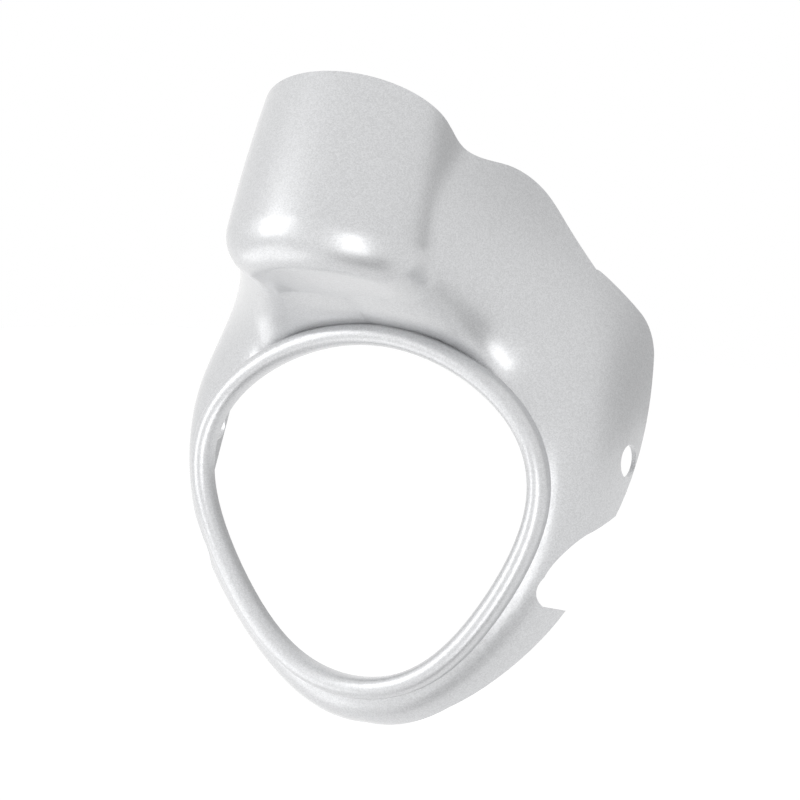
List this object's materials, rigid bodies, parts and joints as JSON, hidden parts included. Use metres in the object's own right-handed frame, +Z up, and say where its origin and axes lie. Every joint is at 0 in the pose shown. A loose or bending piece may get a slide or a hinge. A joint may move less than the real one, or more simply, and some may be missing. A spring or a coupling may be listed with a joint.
{
  "type": "headlight cowl",
  "caption": "One-piece headlight cowl with a rolled rim round an egg-shaped lamp opening, a barrel hump above it and swept side wings with a notch and a fixing hole.",
  "frame": {"origin": "centre of the lamp opening, in the plane of its edge", "axes": "+X to the right seen from the front, +Y back through the opening, +Z up along the opening's plane"},
  "size_m": [0.2866, 0.1946, 0.3828],
  "materials": {
    "silver_paint": "silver metallic paint under clear gloss"
  },
  "bodies": {
    "root": {"headlight_cowl": "silver_paint"}
  },
  "joints": []
}
